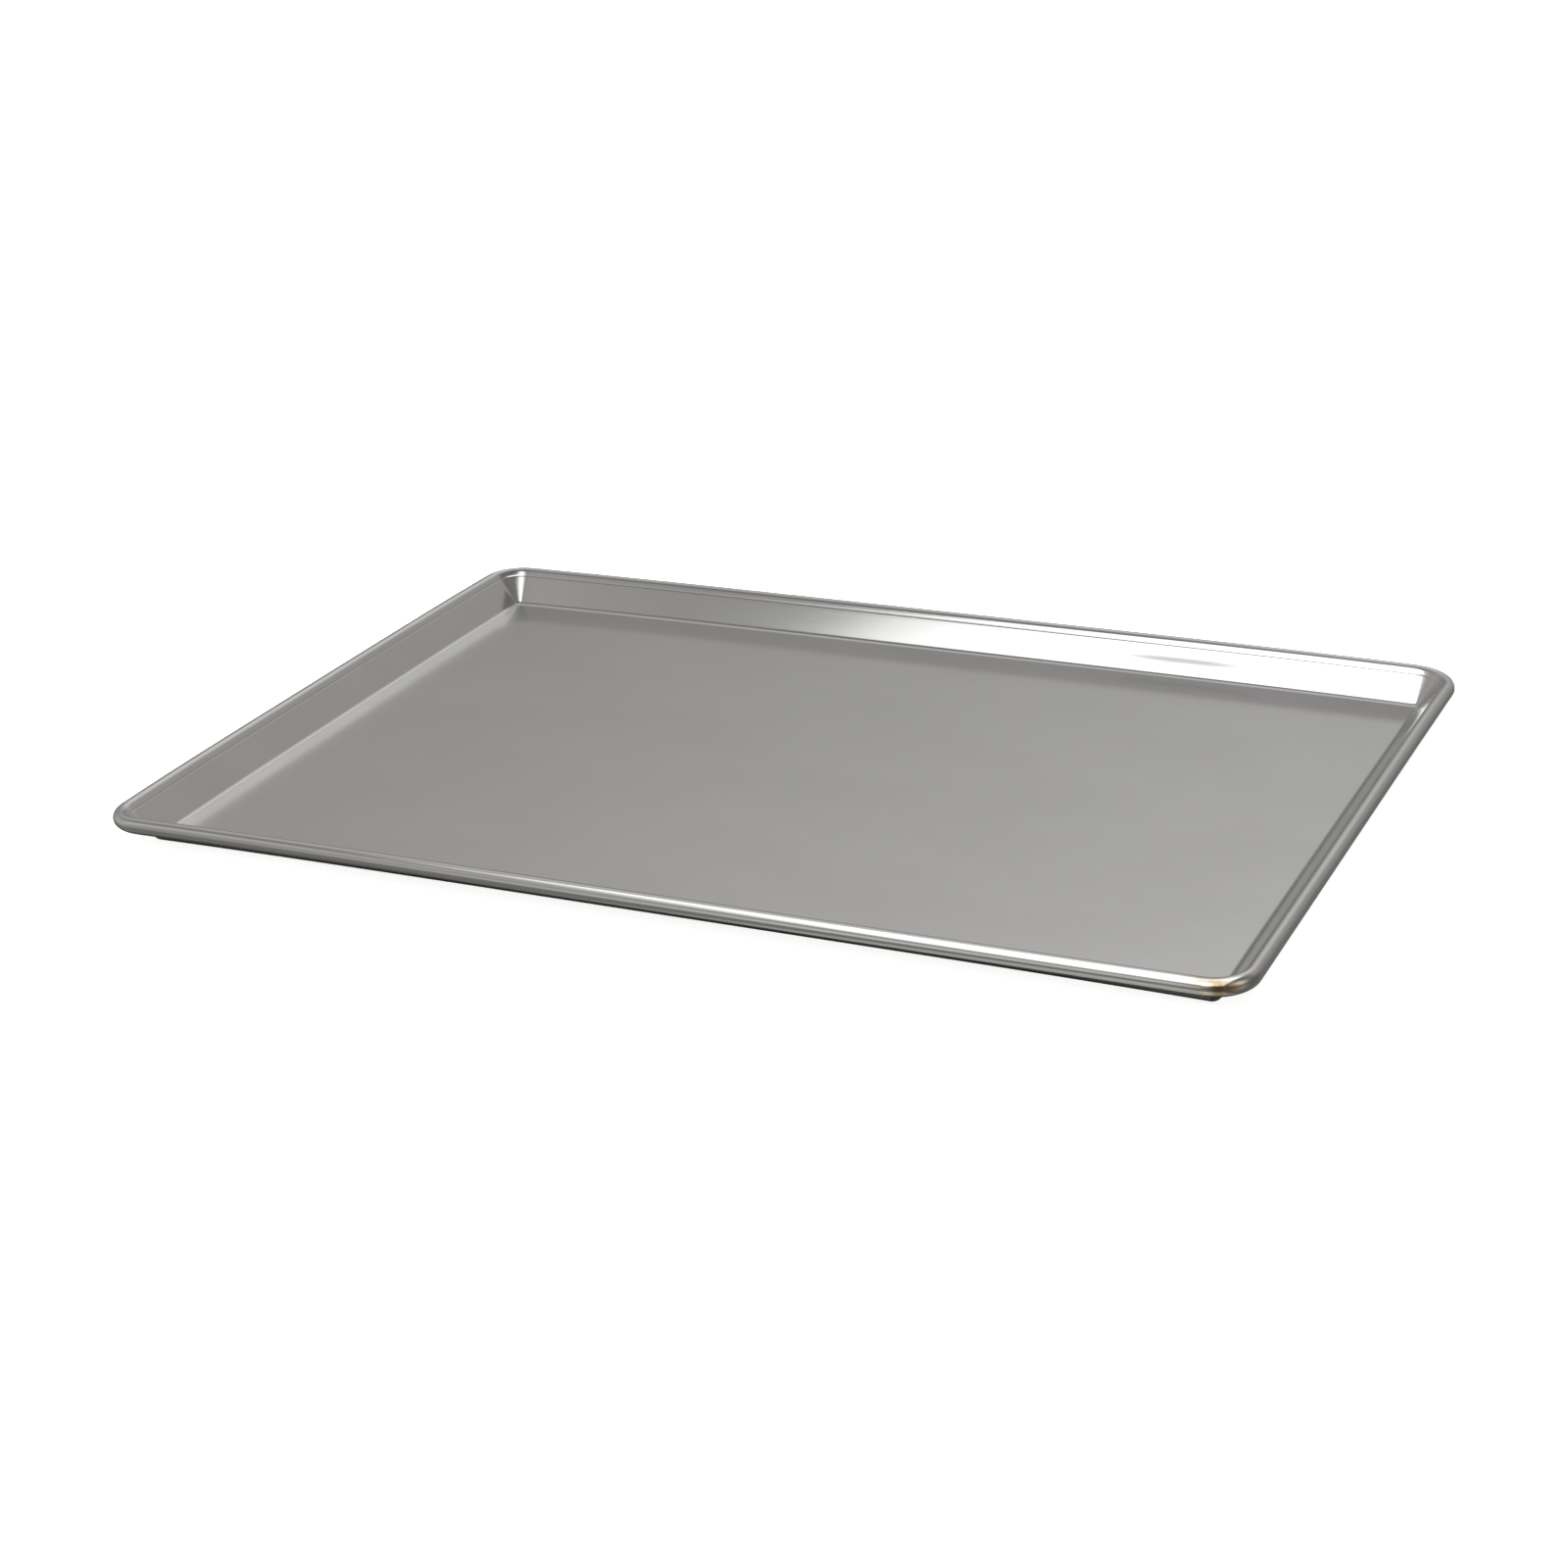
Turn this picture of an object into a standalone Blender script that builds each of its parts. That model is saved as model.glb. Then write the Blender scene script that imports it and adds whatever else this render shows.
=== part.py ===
"""Full-size sheet pan: a pressed aluminium tray whose edge is rolled round a steel wire.

Metres, +Z up. The long side lies along X. The origin is under the middle of the floor, on the
face that the pan stands on.
"""

import math

import bmesh
import bpy
from mathutils import Vector

# Overall size, over the outside of the rolled edge
LENGTH = 0.6604
WIDTH = 0.4572
HEIGHT = 0.0222

# Pressed sheet
SHEET = 0.0010
WALL_LEAN = math.radians(36)  # from upright
FLOOR_FILLET = 0.0050  # bend between floor and wall, on the inner face
FLOOR_CORNER = 0.0010  # plan radius of the floor's corners, where the bend starts

# Rolled edge and the wire inside it
WIRE_DIAMETER = 0.0060
WIRE_CLEARANCE = 0.0003
CURL_GAP = 0.0005  # slit between the end of the curl and the wall
WIRE_END_GAP = 0.0030  # between the two butted ends of the wire
WIRE_JOINT_X = -0.100  # the ends meet on the back side

# Facets
SECTION_FACET = math.radians(14)  # largest turn between two facets of the section
CORNER_STEPS = 10
WIRE_BEVEL_RESOLUTION = 4

MERGE_DISTANCE = 0.00001
SHARP_ANGLE = math.radians(40)

BEAD_RADIUS = WIRE_DIAMETER / 2 + WIRE_CLEARANCE + SHEET
BEAD_HEIGHT = HEIGHT - BEAD_RADIUS

# The wall's inner face runs straight into the bead. These are where its plane meets the floor and
# where the bend between them starts on the floor, both inwards from the outside of the bead.
FLOOR_INSET = BEAD_RADIUS + (
    BEAD_RADIUS + (BEAD_HEIGHT - SHEET) * math.sin(WALL_LEAN)
) / math.cos(WALL_LEAN)
FLOOR_EDGE_INSET = FLOOR_INSET + FLOOR_FILLET * math.tan((math.pi / 2 - WALL_LEAN) / 2)

# Every corner of the pan, from floor to bead, turns about one upright axis
CORNER_RADIUS = FLOOR_CORNER + FLOOR_EDGE_INSET
CORNER_X = LENGTH / 2 - CORNER_RADIUS
CORNER_Y = WIDTH / 2 - CORNER_RADIUS


def arc(centre, radius, start, end):
    """Points (inset, height) of an arc, whose angles rise from the inward direction to upright."""
    points = []
    steps = math.ceil(abs(end - start) / SECTION_FACET)
    for step in range(steps + 1):
        angle = start + (end - start) * step / steps
        points.append((
            centre[0] + radius * math.cos(angle),
            centre[1] + radius * math.sin(angle),
        ))
    return points


def wall_section():
    """Inner face of the sheet as (inset, height): floor bend, leaning wall and curl."""
    bend = arc(
        (FLOOR_EDGE_INSET, SHEET + FLOOR_FILLET),
        FLOOR_FILLET,
        math.pi * 1.5,
        math.pi + WALL_LEAN,
    )

    # The curl runs over the wire, down its outer side and back in, short of the wall's outer
    # face. It is drawn in three arcs, so that points lie on its top and on its outermost side.
    end_angle = math.tau + WALL_LEAN - math.acos((BEAD_RADIUS - SHEET - CURL_GAP) / BEAD_RADIUS)
    stops = (WALL_LEAN, math.pi / 2, math.pi, end_angle)
    curl = []
    for start, end in zip(stops, stops[1:]):
        points = arc((BEAD_RADIUS, BEAD_HEIGHT), BEAD_RADIUS, start, end)
        curl += points[1:] if curl else points
    return bend + curl


def extrude_to(mesh, edges, offset):
    """Extrude a run of edges along a straight line."""
    result = bmesh.ops.extrude_edge_only(mesh, edges=edges)
    verts = [item for item in result["geom"] if isinstance(item, bmesh.types.BMVert)]
    bmesh.ops.translate(mesh, verts=verts, vec=offset)
    return verts


def quarter_sheet():
    """One quarter of the sheet's inner face, open at the two planes of symmetry."""
    mesh = bmesh.new()
    section = [
        mesh.verts.new((LENGTH / 2 - inset, CORNER_Y, height)) for inset, height in wall_section()
    ]
    side_edges = [mesh.edges.new(pair) for pair in zip(section, section[1:])]

    # The section is turned a quarter round the corner's axis
    turned = bmesh.ops.spin(
        mesh,
        geom=section + side_edges,
        cent=(CORNER_X, CORNER_Y, 0),
        axis=(0, 0, 1),
        angle=math.pi / 2,
        steps=CORNER_STEPS,
    )
    back_edges = [item for item in turned["geom_last"] if isinstance(item, bmesh.types.BMEdge)]

    # Straight runs go from both ends of the corner to the planes of symmetry
    extrude_to(mesh, side_edges, Vector((0, -CORNER_Y, 0)))
    extrude_to(mesh, back_edges, Vector((-CORNER_X, 0, 0)))

    # The floor closes the run of edges at the foot of the bend, and reaches the origin
    foot = [
        vert for vert in mesh.verts
        if abs(vert.co.z - SHEET) < MERGE_DISTANCE and len(vert.link_edges) < 4
    ]
    foot.sort(key=lambda vert: math.atan2(vert.co.y, vert.co.x))
    mesh.faces.new([mesh.verts.new((0, 0, SHEET))] + foot)

    bmesh.ops.recalc_face_normals(mesh, faces=mesh.faces)
    mesh.faces.ensure_lookup_table()
    if mesh.faces[-1].normal.z < 0:
        bmesh.ops.reverse_faces(mesh, faces=mesh.faces)
    return mesh


def pan_body(collection, material):
    """The whole pressed sheet: four mirrored quarters, thickened outwards and downwards."""
    quarter = quarter_sheet()
    mesh = bpy.data.meshes.new("pan_body")
    quarter.to_mesh(mesh)
    quarter.free()
    mesh.shade_smooth()
    mesh.set_sharp_from_angle(angle=SHARP_ANGLE)
    mesh.materials.append(material)

    body = bpy.data.objects.new("pan_body", mesh)
    collection.objects.link(body)
    mirror = body.modifiers.new("quarters", "MIRROR")
    mirror.use_axis = (True, True, False)
    mirror.merge_threshold = MERGE_DISTANCE
    sheet = body.modifiers.new("sheet", "SOLIDIFY")
    sheet.thickness = SHEET
    sheet.offset = -1
    sheet.use_even_offset = True
    sheet.use_quality_normals = True
    return body


def wire_path():
    """Centre line of the wire, from one butted end round the pan to the other."""
    radius = CORNER_RADIUS - BEAD_RADIUS
    back = CORNER_Y + radius
    points = [Vector((WIRE_JOINT_X - WIRE_END_GAP / 2, back, BEAD_HEIGHT))]
    corners = ((-1, 1), (-1, -1), (1, -1), (1, 1))
    for index, (side_x, side_y) in enumerate(corners):
        start = math.pi / 2 * (index + 1)
        for step in range(CORNER_STEPS + 1):
            angle = start + math.pi / 2 * step / CORNER_STEPS
            points.append(Vector((
                side_x * CORNER_X + radius * math.cos(angle),
                side_y * CORNER_Y + radius * math.sin(angle),
                BEAD_HEIGHT,
            )))
    points.append(Vector((WIRE_JOINT_X + WIRE_END_GAP / 2, back, BEAD_HEIGHT)))
    return points


def rim_wire(collection, material):
    """The reinforcing wire, bent once round the rim."""
    curve = bpy.data.curves.new("rim_wire", "CURVE")
    curve.dimensions = "3D"
    curve.bevel_depth = WIRE_DIAMETER / 2
    curve.bevel_resolution = WIRE_BEVEL_RESOLUTION
    curve.use_fill_caps = True
    path = wire_path()
    spline = curve.splines.new("POLY")
    spline.points.add(len(path) - 1)
    for point, place in zip(spline.points, path):
        point.co = (*place, 1)
    spline.use_smooth = True
    curve.materials.append(material)

    wire = bpy.data.objects.new("rim_wire", curve)
    collection.objects.link(wire)
    return wire


def metal(name, colour, roughness):
    """A bare metal."""
    material = bpy.data.materials.new(name)
    material.use_nodes = True
    shader = material.node_tree.nodes["Principled BSDF"]
    shader.inputs["Base Color"].default_value = (*colour, 1)
    shader.inputs["Metallic"].default_value = 1
    shader.inputs["Roughness"].default_value = roughness
    return material


def main():
    for thing in list(bpy.data.objects):
        bpy.data.objects.remove(thing, do_unlink=True)
    collection = bpy.data.collections.new("sheet_pan")
    bpy.context.scene.collection.children.link(collection)
    pan_body(collection, metal("satin_aluminium", (0.77, 0.77, 0.76), 0.34))
    rim_wire(collection, metal("galvanised_steel", (0.52, 0.53, 0.54), 0.45))


main()
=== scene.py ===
"""Looks of the full-size sheet pan: the pressed aluminium sheet and the wire in its rolled edge.

Metres, +Z up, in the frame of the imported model: the long side lies along X, and the origin is
under the middle of the floor.
"""

import math

import bpy
import numpy as np
from mathutils import Matrix, Vector


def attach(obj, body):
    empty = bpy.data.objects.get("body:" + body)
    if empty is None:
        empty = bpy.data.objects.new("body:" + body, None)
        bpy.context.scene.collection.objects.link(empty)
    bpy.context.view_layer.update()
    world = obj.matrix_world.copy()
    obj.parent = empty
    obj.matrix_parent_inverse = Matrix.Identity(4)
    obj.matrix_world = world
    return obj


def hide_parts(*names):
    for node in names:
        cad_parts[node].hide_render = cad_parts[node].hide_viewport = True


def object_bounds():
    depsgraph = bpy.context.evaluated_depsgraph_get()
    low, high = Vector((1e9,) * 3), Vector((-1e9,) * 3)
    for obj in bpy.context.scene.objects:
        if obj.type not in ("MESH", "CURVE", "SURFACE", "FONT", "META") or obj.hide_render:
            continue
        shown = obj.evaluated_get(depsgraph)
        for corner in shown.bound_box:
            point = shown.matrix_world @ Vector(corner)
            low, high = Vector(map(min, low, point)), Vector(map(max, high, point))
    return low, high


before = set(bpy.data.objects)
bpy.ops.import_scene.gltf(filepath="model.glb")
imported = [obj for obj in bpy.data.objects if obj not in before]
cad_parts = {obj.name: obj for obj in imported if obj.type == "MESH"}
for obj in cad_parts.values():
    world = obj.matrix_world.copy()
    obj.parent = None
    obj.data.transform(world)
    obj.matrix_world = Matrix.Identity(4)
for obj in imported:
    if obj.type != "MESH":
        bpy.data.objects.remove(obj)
cad_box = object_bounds()

MM = 0.001

# Overall size, read from the frame
LENGTH = cad_box[1].x - cad_box[0].x
WIDTH = cad_box[1].y - cad_box[0].y

# Pressed sheet and rolled edge
SHEET = 1.0 * MM
SECTION_HEIGHT = 20.45 * MM
WALL_LEAN = math.radians(39.5)  # from upright
FLOOR_FILLET = 4.0 * MM
WIRE_RADIUS = 3.0 * MM
WIRE_CLEARANCE = 0.5 * MM
CURL_GAP = 0.5 * MM
WIRE_JOINT_X = -100 * MM
WIRE_END_GAP = 3.0 * MM
WIRE_END_EASE = 0.4 * MM  # the eased edge of each sheared end

# The shallow crease in the inner face of the wall, where the rolling of the edge began
CREASE_DROP = 2.8 * MM  # down the wall from where it meets the bead
CREASE_DEPTH = 0.12 * MM
CREASE_SPREAD = 0.4 * MM

BEAD_RADIUS = WIRE_RADIUS + WIRE_CLEARANCE + SHEET
BEAD_HEIGHT = SECTION_HEIGHT - BEAD_RADIUS
FLOOR_INSET = BEAD_RADIUS + (
    BEAD_RADIUS + (BEAD_HEIGHT - SHEET) * math.sin(WALL_LEAN)
) / math.cos(WALL_LEAN)
FLOOR_EDGE_INSET = FLOOR_INSET + FLOOR_FILLET * math.tan((math.pi / 2 - WALL_LEAN) / 2)

# Plan radii of the corners, where the floor's bend starts and at the outside of the bead. The
# press left no two of them quite alike. They are keyed by the signs of X and Y.
FLOOR_CORNER = 1.0 * MM
RIM_CORNER = {(-1, -1): 23.4 * MM, (-1, 1): 24.8 * MM, (1, -1): 24.6 * MM, (1, 1): 31.9 * MM}

# The photographed pan is warped. It stands on its four corners, and its floor and sides bow up
# between them. This is how far each corner of the rim sinks below the middles of the sides.
FOOT_LIFT = 1.2 * MM
CORNER_DROOP = {(-1, -1): 1.2 * MM, (-1, 1): 1.05 * MM, (1, -1): -0.54 * MM, (1, 1): 1.45 * MM}
DROOP_POWER = 4
FLOOR_CROWN = 0.2 * MM

# Facets
BEND_STEPS = 14
BEAD_STEPS = 34
FLOOR_RINGS = 36
FLOOR_EDGE_RINGS = (0.0015, 0.004, 0.01)  # closer rings, as shares of the way in from the bend


def rim_path(corner_steps, long_steps, short_steps):
    """The closed path that every section of the pan is carried along, anticlockwise from above.

    Each point is an anchor on the square from -1 to 1, an outward direction and the radius of
    the rim's corner there. On a corner the anchor stays and the direction turns a quarter
    circle, and on a side the direction stays and the anchor and radius run on to the next.
    """
    anchors, outwards, radii = [], [], []
    corners = ((1, 1), (-1, 1), (-1, -1), (1, -1))
    for index, corner in enumerate(corners):
        following = corners[(index + 1) % 4]
        turn = np.linspace(0, math.pi / 2, corner_steps + 1) + index * math.pi / 2
        steps = long_steps if following[1] == corner[1] else short_steps
        along = np.concatenate((np.zeros(len(turn)), np.linspace(0, 1, steps + 1)[1:-1]))
        step = np.array(following) - np.array(corner)
        anchors.append(np.array(corner) + step * along[:, None])
        turn = np.concatenate((turn, np.full(steps - 1, turn[-1])))
        outwards.append(np.column_stack((np.cos(turn), np.sin(turn))))
        radii.append(RIM_CORNER[corner] + (RIM_CORNER[following] - RIM_CORNER[corner]) * along)
    return np.concatenate(anchors), np.concatenate(outwards), np.concatenate(radii)


def plan_points(path, inset):
    """Plan points (x, y) of the path, drawn in from the outside of the bead by each inset.

    The corner radius falls evenly from the rim's to the floor's, r = rim + (floor - rim) inset /
    floor edge, and the point is anchor * (half size - inset - r) + outward * r.
    """
    anchors, outwards, radii = path
    radius = radii[:, None] + (FLOOR_CORNER - radii[:, None]) * inset[None, :] / FLOOR_EDGE_INSET
    half = np.array((LENGTH / 2, WIDTH / 2))
    reach = half - (inset[None, :] + radius)[..., None]
    return anchors[:, None, :] * reach + outwards[:, None, :] * radius[..., None]


def settle(points):
    """Points of the true-ruled pan, moved to where the used pan has them.

    reach is 1 at the foot's corners and 0 on the two middle planes, as (|x| / foot's half length
    * |y| / foot's half width) ** power. All is lifted by the foot lift and sinks towards the
    corners, by the same amount at the foot and by the corner's droop at the rim.
    """
    x, y, z = np.moveaxis(points, -1, 0)
    reach = (
        np.clip(np.abs(x) / (LENGTH / 2 - FLOOR_EDGE_INSET), 0, 1)
        * np.clip(np.abs(y) / (WIDTH / 2 - FLOOR_EDGE_INSET), 0, 1)
    ) ** DROOP_POWER
    droop = np.zeros(x.shape)
    for (side_x, side_y), amount in CORNER_DROOP.items():
        droop += amount * ((x * side_x > 0) & (y * side_y > 0))
    rise = np.clip(z / SECTION_HEIGHT, 0, 1)
    sink = FOOT_LIFT + (droop - FOOT_LIFT) * rise
    return np.stack((x, y, z + FOOT_LIFT - reach * sink), axis=-1)


def arc(centre, radius, start, stop, steps):
    """Points (inset, height) of an arc: centre + radius (cos a, sin a), for a from start to stop."""
    angle = np.linspace(start, stop, steps + 1)
    return np.column_stack((
        centre[0] + radius * np.cos(angle),
        centre[1] + radius * np.sin(angle),
    ))


def sheet_section():
    """The closed outline of wall and bead as (inset, height), from the floor's top to its underside.

    Up the inner face: floor bend, creased wall, and the outside of the curl. Then round the
    sheared edge, and back down the other face, whose arcs have the same centres and a radius
    that differs by the sheet's thickness. The crease is a dent of depth * exp(-((distance from
    its line) / spread) ** 2).
    """
    lean = math.pi + WALL_LEAN
    bend_centre = (FLOOR_EDGE_INSET, SHEET + FLOOR_FILLET)
    bead_centre = (BEAD_RADIUS, BEAD_HEIGHT)
    end_angle = math.tau + WALL_LEAN - math.acos((BEAD_RADIUS - SHEET - CURL_GAP) / BEAD_RADIUS)
    edge_centre = (
        bead_centre[0] + (BEAD_RADIUS - SHEET / 2) * math.cos(end_angle),
        bead_centre[1] + (BEAD_RADIUS - SHEET / 2) * math.sin(end_angle),
    )
    inner_bend = arc(bend_centre, FLOOR_FILLET, math.pi * 1.5, lean, BEND_STEPS)
    inner_bead = arc(bead_centre, BEAD_RADIUS, WALL_LEAN, end_angle, 2 * BEAD_STEPS)
    outer_bead = arc(bead_centre, BEAD_RADIUS - SHEET, end_angle, WALL_LEAN, BEAD_STEPS)
    outer_bend = arc(bend_centre, FLOOR_FILLET + SHEET, lean, math.pi * 1.5, BEND_STEPS)

    down = np.array((math.sin(WALL_LEAN), -math.cos(WALL_LEAN)))
    into_sheet = np.array((-math.cos(WALL_LEAN), -math.sin(WALL_LEAN)))
    wall_length = np.linalg.norm(inner_bead[0] - inner_bend[-1])
    drop = np.concatenate((
        np.array((0.97, 0.85, 0.65, 0.45, 0.3)) * wall_length,
        CREASE_DROP + np.linspace(2.4, -2.4, 13) * CREASE_SPREAD,
    ))
    dent = CREASE_DEPTH * np.exp(-(((drop - CREASE_DROP) / CREASE_SPREAD) ** 2))
    inner_wall = inner_bead[0] + drop[:, None] * down + dent[:, None] * into_sheet
    back = np.array((0.1, 0.3, 0.5, 0.7, 0.9))[:, None]
    outer_wall = outer_bead[-1] + (outer_bend[0] - outer_bead[-1]) * back
    return np.concatenate((
        inner_bend,
        inner_wall,
        inner_bead[:-1],
        arc(edge_centre, SHEET / 2, end_angle, end_angle + math.pi, 8),
        outer_bead[1:],
        outer_wall,
        outer_bend,
    ))


def length_from_foot(section):
    """Length along the sheet from the foot of the bend, for each point of the closed outline.

    The two faces are measured from their own feet, and both have the same length where they meet,
    half way round the outline.
    """
    steps = np.linalg.norm(np.diff(section, axis=0), axis=1)
    along = np.concatenate(((0,), np.cumsum(steps)))
    return np.minimum(along, along[-1] - along)


def closed_grid_faces(columns, rows):
    """Quads of a grid whose columns close on themselves, wound so that they face outwards."""
    column = np.arange(columns)[:, None]
    row = np.arange(rows - 1)[None, :]
    following = (column + 1) % columns
    corners = (
        column * rows + row,
        column * rows + row + 1,
        following * rows + row + 1,
        following * rows + row,
    )
    return np.stack(np.broadcast_arrays(*corners), axis=-1).reshape(-1, 4)


def make_piece(name, verts, faces, flat, material, node):
    """A mesh object from whole arrays, in place of one CAD node.

    flat is each vertex's place (u, v) in metres on the unrolled metal, kept as the map "metal".
    """
    mesh = bpy.data.meshes.new(name)
    mesh.from_pydata(verts.tolist(), [], faces)
    layer = mesh.uv_layers.new(name="metal")
    corner_verts = np.empty(len(mesh.loops), dtype=np.int32)
    mesh.loops.foreach_get("vertex_index", corner_verts)
    layer.data.foreach_set("uv", flat[corner_verts].astype(np.float32).ravel())
    mesh.shade_smooth()
    mesh.materials.append(material)
    piece = bpy.data.objects.new(name, mesh)
    bpy.context.scene.collection.objects.link(piece)
    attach(piece, "root")
    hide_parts(node)
    return piece


def pressed_sheet(material):
    """The pan's sheet: its section carried round the rim path, and rings that close both floors.

    The point at (path, section) is the path drawn in by the section's inset, at its height. Each
    floor goes on from the foot of the bend in rings, which are that foot's outline scaled
    towards the middle, and ends in one point. It rises by crown * cos(scale * 90 degrees) ** 2.
    On the flat blank the same point is the foot's outline + outward * length of section from the
    foot.
    """
    path = rim_path(corner_steps=28, long_steps=72, short_steps=52)
    section = sheet_section()
    rings = 1 - np.concatenate((FLOOR_EDGE_RINGS, np.arange(1, FLOOR_RINGS) / FLOOR_RINGS))
    foot = np.ones(len(rings))
    inset = np.concatenate((foot * FLOOR_EDGE_INSET, section[:, 0], foot * FLOOR_EDGE_INSET))
    scale = np.concatenate((rings[::-1], np.ones(len(section)), rings))
    height = np.concatenate((foot * SHEET, section[:, 1], foot * 0))
    spread = np.concatenate((foot * 0, length_from_foot(section), foot * 0))
    plan = plan_points(path, inset) * scale[None, :, None]
    foot_plan = plan_points(path, np.array((FLOOR_EDGE_INSET,)))
    blank = foot_plan * scale[None, :, None] + path[1][:, None, :] * spread[None, :, None]
    columns, rows = plan.shape[:2]
    crown = FLOOR_CROWN * np.cos(np.clip(scale, 0, 1) * math.pi / 2) ** 2
    tall = np.broadcast_to(height + crown, (columns, rows))
    grid = settle(np.concatenate((plan, tall[..., None]), axis=-1))

    quads = closed_grid_faces(columns, rows)
    top_pole, bottom_pole = columns * rows, columns * rows + 1
    poles = settle(np.array(((0, 0, SHEET + FLOOR_CROWN), (0, 0, FLOOR_CROWN))))
    verts = np.concatenate((grid.reshape(-1, 3), poles))
    flat = np.concatenate((blank.reshape(-1, 2), ((0, 0), (0, 0))))
    ring = np.arange(columns)
    following = (ring + 1) % columns
    top_fan = np.stack((np.full(columns, top_pole), ring * rows, following * rows), axis=-1)
    bottom_fan = np.stack(
        (np.full(columns, bottom_pole), following * rows + rows - 1, ring * rows + rows - 1),
        axis=-1,
    )
    faces = [*quads.tolist(), *top_fan.tolist(), *bottom_fan.tolist()]
    return make_piece(
        "pan_sheet", verts, faces, flat, material, "pan_body",
    )


def wire_run(corner_steps, long_steps, short_steps):
    """Centre line of the wire and its outward directions, from one butted end to the other."""
    path = rim_path(corner_steps, long_steps, short_steps)
    anchors, outwards, _ = path
    middle = np.column_stack((
        plan_points(path, np.array((BEAD_RADIUS,)))[:, 0],
        np.full(len(anchors), BEAD_HEIGHT),
    ))
    # The path starts at the right end of the back right corner. It is turned so that it starts
    # at the joint, and the points inside the joint's gap make way for the two ends.
    on_back = (outwards[:, 1] > 0.9999) & (anchors[:, 1] > 0.9999)
    left = middle[:, 0] < WIRE_JOINT_X - WIRE_END_GAP
    first = int(np.argmax(on_back & left))
    middle, outwards = np.roll(middle, -first, axis=0), np.roll(outwards, -first, axis=0)
    away = np.abs(middle[:, 0] - WIRE_JOINT_X) > WIRE_END_GAP
    keep = away | (middle[:, 1] < 0)
    middle, outwards = middle[keep], outwards[keep]
    ends = np.array([
        (WIRE_JOINT_X + side * WIRE_END_GAP / 2, middle[0, 1], BEAD_HEIGHT) for side in (-1, 1)
    ])
    middle = np.concatenate((ends[:1], middle, ends[1:]))
    outwards = np.concatenate((((0, 1),), outwards, ((0, 1),)))
    return middle, outwards


def rim_wire(material):
    """The wire in the rolled edge: a circle carried along its run, with eased, sheared ends.

    The point at (run, turn) is middle + radius (outward cos turn + up sin turn). Each end closes
    in two smaller rings and one point.
    """
    middle, outwards = wire_run(corner_steps=16, long_steps=40, short_steps=28)
    ease = WIRE_END_EASE
    part_ease = ease * 0.3
    along = np.linalg.norm(np.diff(middle, axis=0), axis=1)
    first = (middle[1] - middle[0]) / along[0]
    last = (middle[-1] - middle[-2]) / along[-1]
    middle = np.concatenate((
        middle[:1], middle[:1] + first * part_ease, middle[:1] + first * ease, middle[1:-1],
        middle[-1:] - last * ease, middle[-1:] - last * part_ease, middle[-1:],
    ))
    outwards = np.concatenate((outwards[:1], outwards[:1], outwards, outwards[-1:], outwards[-1:]))
    radius = np.full(len(middle), WIRE_RADIUS)
    radius[[0, -1]] -= ease
    radius[[1, -2]] -= part_ease
    turn = np.linspace(0, math.tau, 32, endpoint=False)
    sideways = np.cos(turn)[None, :, None] * outwards[:, None, :]
    upwards = np.broadcast_to(np.sin(turn)[None, :], sideways.shape[:2])
    around = np.concatenate((sideways, upwards[..., None]), axis=-1)
    grid = middle[:, None, :] + around * radius[:, None, None]
    rows, columns = grid.shape[:2]

    run = np.concatenate(((0,), np.cumsum(np.linalg.norm(np.diff(middle, axis=0), axis=1))))
    flat = np.stack(np.broadcast_arrays(run[:, None], WIRE_RADIUS * turn[None, :]), axis=-1)
    quads = closed_grid_faces(columns, rows)
    grid, flat = np.swapaxes(grid, 0, 1), np.swapaxes(flat, 0, 1)
    verts = settle(np.concatenate((grid.reshape(-1, 3), middle[[0, -1]])))
    flat = np.concatenate((flat.reshape(-1, 2), ((0, 0), (run[-1], 0))))
    start_pole, end_pole = columns * rows, columns * rows + 1
    ring = np.arange(columns)
    following = (ring + 1) % columns
    start_fan = np.stack((np.full(columns, start_pole), ring * rows, following * rows), axis=-1)
    end_fan = np.stack(
        (np.full(columns, end_pole), following * rows + rows - 1, ring * rows + rows - 1), axis=-1,
    )
    faces = [*quads.tolist(), *start_fan.tolist(), *end_fan.tolist()]
    return make_piece(
        "steel_wire", verts, faces, flat, material, "rim_wire",
    )


def colour(hex_code):
    """Linear RGBA of an sRGB hex colour."""
    channels = [int(hex_code[start:start + 2], 16) / 255 for start in (0, 2, 4)]
    linear = [c / 12.92 if c <= 0.04045 else ((c + 0.055) / 1.055) ** 2.4 for c in channels]
    return (*linear, 1)


def new_material(name):
    """A node material with its output and a Principled shader."""
    material = bpy.data.materials.new(name)
    material.use_nodes = True
    return material, material.node_tree.nodes["Principled BSDF"]


def add_node(tree, kind, inputs=None, **settings):
    """A node with its settings, whose inputs are set to constants or linked from other nodes."""
    node = tree.nodes.new(kind)
    for name, value in settings.items():
        setattr(node, name, value)
    for name, value in (inputs or {}).items():
        if isinstance(value, bpy.types.NodeSocket):
            tree.links.new(value, node.inputs[name])
        else:
            node.inputs[name].default_value = value
    return node


def streaks(tree, place, length, width, turn=0.0, detail=2.0):
    """Noise between 0 and 1 whose marks have about this length and width, turned from the X axis."""
    turned = add_node(tree, "ShaderNodeVectorRotate", {"Vector": place, "Angle": turn},
                      rotation_type="Z_AXIS").outputs["Vector"]
    scaled = add_node(tree, "ShaderNodeVectorMath", {0: turned, 1: (1 / length, 1 / width, 1)},
                      operation="MULTIPLY").outputs["Vector"]
    noise = add_node(tree, "ShaderNodeTexNoise", {"Vector": scaled, "Scale": 1.0, "Detail": detail})
    return noise.outputs["Fac"]


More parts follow.
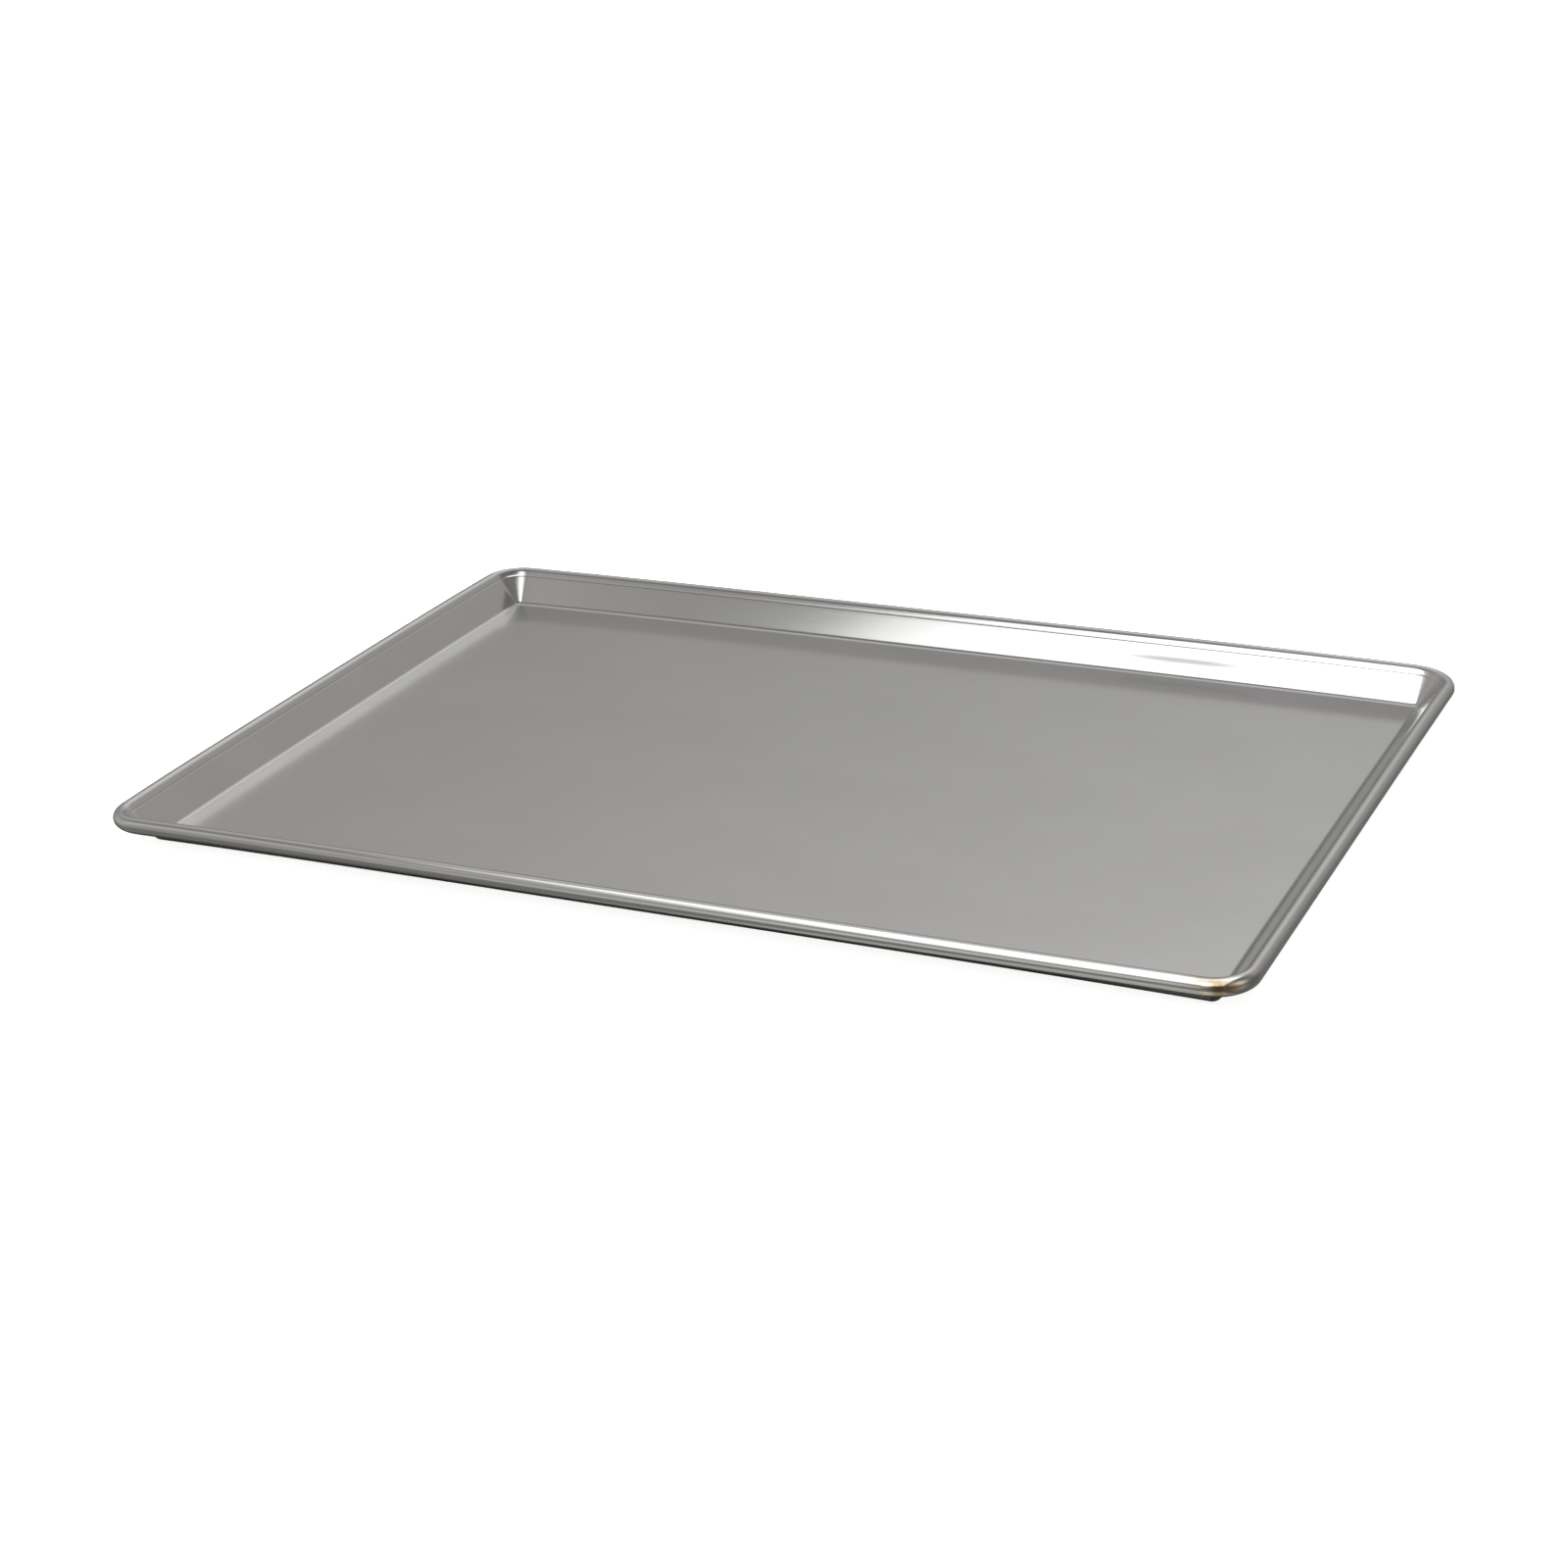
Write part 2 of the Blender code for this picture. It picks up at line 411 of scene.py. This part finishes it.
def spread(tree, value, low, high, start, stop):
    """The value, mapped smoothly from low..high to start..stop."""
    mapped = add_node(tree, "ShaderNodeMapRange", {
        "Value": value, "From Min": low, "From Max": high, "To Min": start, "To Max": stop,
    }, interpolation_type="SMOOTHSTEP")
    return mapped.outputs["Result"]


def total(tree, first, second, operation="ADD"):
    """Two values added, or joined by another operation."""
    return add_node(tree, "ShaderNodeMath", {0: first, 1: second}, operation=operation).outputs[0]


def spot(tree, place, centre, size):
    """1 at the centre of an ellipsoid of half lengths size, and 0 from its surface outwards."""
    apart = add_node(tree, "ShaderNodeVectorMath", {0: place, 1: centre}, operation="SUBTRACT")
    scaled = add_node(tree, "ShaderNodeVectorMath", {
        0: apart.outputs["Vector"], 1: tuple(1 / length for length in size),
    }, operation="MULTIPLY")
    reach = add_node(tree, "ShaderNodeVectorMath", {0: scaled.outputs["Vector"]}, operation="LENGTH")
    return spread(tree, reach.outputs["Value"], 0.3, 1.0, 1.0, 0.0)


def blend(tree, factor, first, second):
    """A colour between two, by a factor."""
    mixed = add_node(tree, "ShaderNodeMix", {0: factor, 6: first, 7: second}, data_type="RGBA")
    return mixed.outputs[2]


# Marks on the photographed pan, as middle and half lengths in metres: a brown heat stain on the
# bead's front right corner, and a dull rub on the back wall
STAIN = ((0.311, -0.2245, 0.018), (0.022, 0.008, 0.007))
RUB = ((0.160, 0.2135, 0.0105), (0.056, 0.006, 0.0022))

# Thin rubs all over the sheet, as turn from the grain in radians, length and width
THIN_RUBS = (
    (0.35, 70 * MM, 0.9 * MM),
    (1.25, 45 * MM, 0.7 * MM),
    (2.6, 55 * MM, 0.8 * MM),
)


def satin_aluminium():
    """Mill-finish aluminium sheet. It mirrors softly, and light runs along it in long bands.

    Fine rolling grain lies along the blank's length, with a broad haze from hands and washing,
    thin rubs in three directions, and the two marks of the photographed pan.
    """
    material, shader = new_material("satin_aluminium")
    tree = material.node_tree
    flat = add_node(tree, "ShaderNodeUVMap", uv_map="metal").outputs["UV"]
    place = add_node(tree, "ShaderNodeTexCoord").outputs["Object"]
    grain = streaks(tree, flat, 22 * MM, 0.5 * MM)
    haze = streaks(tree, flat, 95 * MM, 60 * MM, detail=4.0)
    patina = streaks(tree, place, 14 * MM, 9 * MM, 0.4, detail=3.0)
    uneven = spread(tree, patina, 0.3, 0.6, 0.4, 1.0)
    stain = total(tree, spot(tree, place, *STAIN), uneven, "MULTIPLY")
    rub = spot(tree, place, *RUB)

    grained = spread(tree, grain, 0.3, 0.7, 0.0, 0.02)
    rough = total(tree, spread(tree, haze, 0.3, 0.7, 0.130, 0.150), grained)
    for turn, length, width in THIN_RUBS:
        marks = streaks(tree, flat, length, width, turn)
        rough = total(tree, rough, spread(tree, marks, 0.66, 0.80, 0.0, 0.07))
    rough = total(tree, rough, total(tree, rub, 0.25, "MULTIPLY"))
    clean = blend(tree, spread(tree, haze, 0.3, 0.7, 0.0, 1.0), colour("EAEAEA"), colour("E6E6E5"))
    rubbed = blend(tree, total(tree, rub, 0.6, "MULTIPLY"), clean, colour("A5A4A0"))
    stained = blend(tree, stain, rubbed, colour("BC9C62"))
    grooves = add_node(tree, "ShaderNodeBump", {
        "Height": grain, "Strength": 0.12, "Distance": 0.01 * MM,
    })
    tree.links.new(stained, shader.inputs["Base Color"])
    tree.links.new(rough, shader.inputs["Roughness"])
    tree.links.new(grooves.outputs["Normal"], shader.inputs["Normal"])
    shader.inputs["Metallic"].default_value = 1
    return material


def galvanised_steel():
    """Hot-dip galvanised wire: dull grey, with the paler and darker crystals of the zinc."""
    material, shader = new_material("galvanised_steel")
    tree = material.node_tree
    flat = add_node(tree, "ShaderNodeUVMap", uv_map="metal").outputs["UV"]
    crystals = add_node(tree, "ShaderNodeTexVoronoi", {"Vector": flat, "Scale": 260.0})
    shade = add_node(tree, "ShaderNodeSeparateColor", {"Color": crystals.outputs["Color"]})
    tone = shade.outputs["Red"]
    drawn = streaks(tree, flat, 30 * MM, 0.25 * MM)
    grooves = add_node(tree, "ShaderNodeBump", {
        "Height": drawn, "Strength": 0.3, "Distance": 0.02 * MM,
    })
    tree.links.new(blend(tree, tone, colour("A9ADB0"), colour("C9CCCE")), shader.inputs["Base Color"])
    tree.links.new(spread(tree, tone, 0.0, 1.0, 0.38, 0.55), shader.inputs["Roughness"])
    tree.links.new(grooves.outputs["Normal"], shader.inputs["Normal"])
    shader.inputs["Metallic"].default_value = 1
    return material


# Camera, solved from the pan's outline in the photograph. The photo was cropped round the pan,
# so the lens axis doesn't go through the middle of the picture.
CAMERA_AZIMUTH = math.radians(23.5547)
CAMERA_ELEVATION = math.radians(22.1662)
CAMERA_ROLL = math.radians(-2.0271)
CAMERA_DISTANCE = 1.77836
CAMERA_TARGET = Vector((32.97 * MM, 35.22 * MM, FOOT_LIFT))
SENSOR_WIDTH = 36.0
FOCAL_LENGTH = 69.845
CAMERA_SHIFT = (-0.06496, -0.01885)


def make_camera():
    """The photograph's camera: it looks at a point on the table, and is rolled about its axis."""
    data = bpy.data.cameras.new("camera")
    data.sensor_width = SENSOR_WIDTH
    data.lens = FOCAL_LENGTH
    data.shift_x, data.shift_y = CAMERA_SHIFT
    data.clip_start = 0.05
    back = Vector((
        math.sin(CAMERA_AZIMUTH) * math.cos(CAMERA_ELEVATION),
        -math.cos(CAMERA_AZIMUTH) * math.cos(CAMERA_ELEVATION),
        math.sin(CAMERA_ELEVATION),
    ))
    right = (-back).cross(Vector((0, 0, 1))).normalized()
    up = right.cross(-back)
    turned_right = right * math.cos(CAMERA_ROLL) + up * math.sin(CAMERA_ROLL)
    turned_up = -right * math.sin(CAMERA_ROLL) + up * math.cos(CAMERA_ROLL)
    camera = bpy.data.objects.new("camera", data)
    rotation = Matrix((turned_right, turned_up, back)).transposed()
    camera.matrix_world = Matrix.Translation(CAMERA_TARGET + back * CAMERA_DISTANCE) @ (
        rotation.to_4x4()
    )
    bpy.context.scene.collection.objects.link(camera)
    bpy.context.scene.camera = camera


TABLE_SIZE = 24
TABLE_DROP = 0.2 * MM  # below the pan, so that the two share no plane


def make_floor():
    """The plain pale table, whose white glows softly.

    Metal on it mirrors it greyer than the eye sees it.
    """
    bpy.ops.mesh.primitive_plane_add(size=TABLE_SIZE, location=(0, 0, -TABLE_DROP))
    floor = bpy.context.object
    floor.name = "floor"
    material, shader = new_material("pale_table")
    tree = material.node_tree
    shader.inputs["Base Color"].default_value = colour("F2F2F1")
    shader.inputs["Roughness"].default_value = 0.6
    shader.inputs["Specular IOR Level"].default_value = 0.2
    shader.inputs["Emission Color"].default_value = (1, 1, 1, 1)
    shader.inputs["Emission Strength"].default_value = 0.85
    mirrored = add_node(tree, "ShaderNodeBsdfPrincipled", {
        "Base Color": colour("8C8B88"), "Roughness": 0.12, "Metallic": 0.85,
    })
    path = add_node(tree, "ShaderNodeLightPath")
    chosen = add_node(tree, "ShaderNodeMixShader", {
        0: path.outputs["Is Glossy Ray"], 1: shader.outputs[0], 2: mirrored.outputs[0],
    })
    output = tree.nodes["Material Output"]
    tree.links.new(chosen.outputs[0], output.inputs["Surface"])
    floor.data.materials.append(material)


def area_light(name, centre, size, radiance):
    """A level white softbox of size (width, height) m that shines down with the radiance given."""
    data = bpy.data.lights.new(name, "AREA")
    data.shape = "RECTANGLE"
    data.size, data.size_y = size
    data.energy = radiance * math.pi * size[0] * size[1]
    light = bpy.data.objects.new(name, data)
    light.location = centre
    light.visible_camera = False
    bpy.context.scene.collection.objects.link(light)
    return light


# The studio round the table, as soft round panels on a dark ground: azimuth from +Y towards +X and
# elevation of the middle, in degrees, then sharpness, and radiance in red, green and blue
DARK_GROUND = (0.10, 0.10, 0.10)
PANELS = (
    (180, 55, 60, (1.64, 1.64, 1.64)),
    (180, 40, 60, (0.86, 0.83, 0.72)),
    (180, 18, 60, (0.34, 0.34, 0.36)),
    (200, 5, 60, (0.53, 0.52, 0.51)),
    (208, 38, 20, (0.18, 0.18, 0.17)),
    (240, 40, 60, (0.31, 0.30, 0.29)),
    (240, 18, 6, (0.25, 0.24, 0.22)),
    (280, 5, 6, (0.25, 0.24, 0.22)),
    (-20, 50, 6, (0.47, 0.46, 0.45)),
    (-10, 35, 20, (0.13, 0.13, 0.13)),
    (0, 8, 20, (0.13, 0.13, 0.13)),
    (0, 40, 20, (0.07, 0.07, 0.06)),
    (20, 5, 20, (0.12, 0.12, 0.12)),
    (40, 28, 20, (0.18, 0.17, 0.15)),
    (100, 28, 20, (0.72, 0.62, 0.46)),
)


def make_room():
    """The world's light: dark ground + sum of radiance * max(0, direction . middle) ** sharpness."""
    world = bpy.data.worlds.new("studio_room")
    bpy.context.scene.world = world
    world.use_nodes = True
    tree = world.node_tree
    direction = add_node(tree, "ShaderNodeTexCoord").outputs["Generated"]
    light = DARK_GROUND
    for azimuth, elevation, sharpness, radiance in PANELS:
        azimuth, elevation = math.radians(azimuth), math.radians(elevation)
        middle = (
            math.sin(azimuth) * math.cos(elevation),
            math.cos(azimuth) * math.cos(elevation),
            math.sin(elevation),
        )
        facing = add_node(tree, "ShaderNodeVectorMath", {0: direction, 1: middle},
                          operation="DOT_PRODUCT").outputs["Value"]
        facing = add_node(tree, "ShaderNodeMath", {0: facing, 1: 0.0}, operation="MAXIMUM")
        glow = add_node(tree, "ShaderNodeMath", {0: facing.outputs[0], 1: float(sharpness)},
                        operation="POWER").outputs[0]
        light = add_node(tree, "ShaderNodeVectorMath", {0: glow, 1: radiance, 2: light},
                         operation="MULTIPLY_ADD").outputs["Vector"]
    room = tree.nodes["Background"]
    tree.links.new(light, room.inputs["Color"])

    # The camera itself sees a plain white wall behind the table
    wall = add_node(tree, "ShaderNodeBackground", {"Color": (1, 1, 1, 1)})
    seen = add_node(tree, "ShaderNodeLightPath").outputs["Is Camera Ray"]
    chosen = add_node(tree, "ShaderNodeMixShader", {
        0: seen, 1: room.outputs[0], 2: wall.outputs[0],
    })
    tree.links.new(chosen.outputs[0], tree.nodes["World Output"].inputs["Surface"])


def across_table(right, forward, height):
    """A place over the table, to the right of and forward from the pan's middle as the camera looks."""
    x = right * math.cos(CAMERA_AZIMUTH) - forward * math.sin(CAMERA_AZIMUTH)
    y = right * math.sin(CAMERA_AZIMUTH) + forward * math.cos(CAMERA_AZIMUTH)
    return Vector((x, y, height))


# A softbox hangs level over the pan, turned with the camera. Its light falls off to the left in
# steps, so it is made of strips side by side, each given by its left edge in metres and radiance.
SOFTBOX_STRIPS = ((-0.54, 0.28), (-0.48, 0.5), (-0.42, 0.8), (-0.35, 1.2))
SOFTBOX_RIGHT = 0.45
SOFTBOX_FORWARD = -0.575
SOFTBOX_HEIGHT = 0.55
SOFTBOX_DEPTH = 1.17


def make_light():
    """Plain soft studio light: the room's panels, a low box over the pan, and light on the table."""
    make_room()
    right_edges = [left for left, _ in SOFTBOX_STRIPS[1:]] + [SOFTBOX_RIGHT]
    for number, ((left, radiance), right) in enumerate(zip(SOFTBOX_STRIPS, right_edges), 1):
        middle = across_table((left + right) / 2, SOFTBOX_FORWARD, SOFTBOX_HEIGHT)
        size = (right - left, SOFTBOX_DEPTH)
        strip = area_light(f"softbox_strip_{number}", middle, size, radiance)
        strip.rotation_euler = (0, 0, CAMERA_AZIMUTH)

    # Light from straight above that only whitens the table
    sun = bpy.data.lights.new("table_light", "SUN")
    sun.energy = 3.2
    sun.angle = math.radians(60)
    light = bpy.data.objects.new("table_light", sun)
    light.visible_glossy = False
    bpy.context.scene.collection.objects.link(light)


make_camera()
make_floor()
make_light()
bpy.context.scene.view_settings.view_transform = "Standard"
pressed_sheet(satin_aluminium())
rim_wire(galvanised_steel())
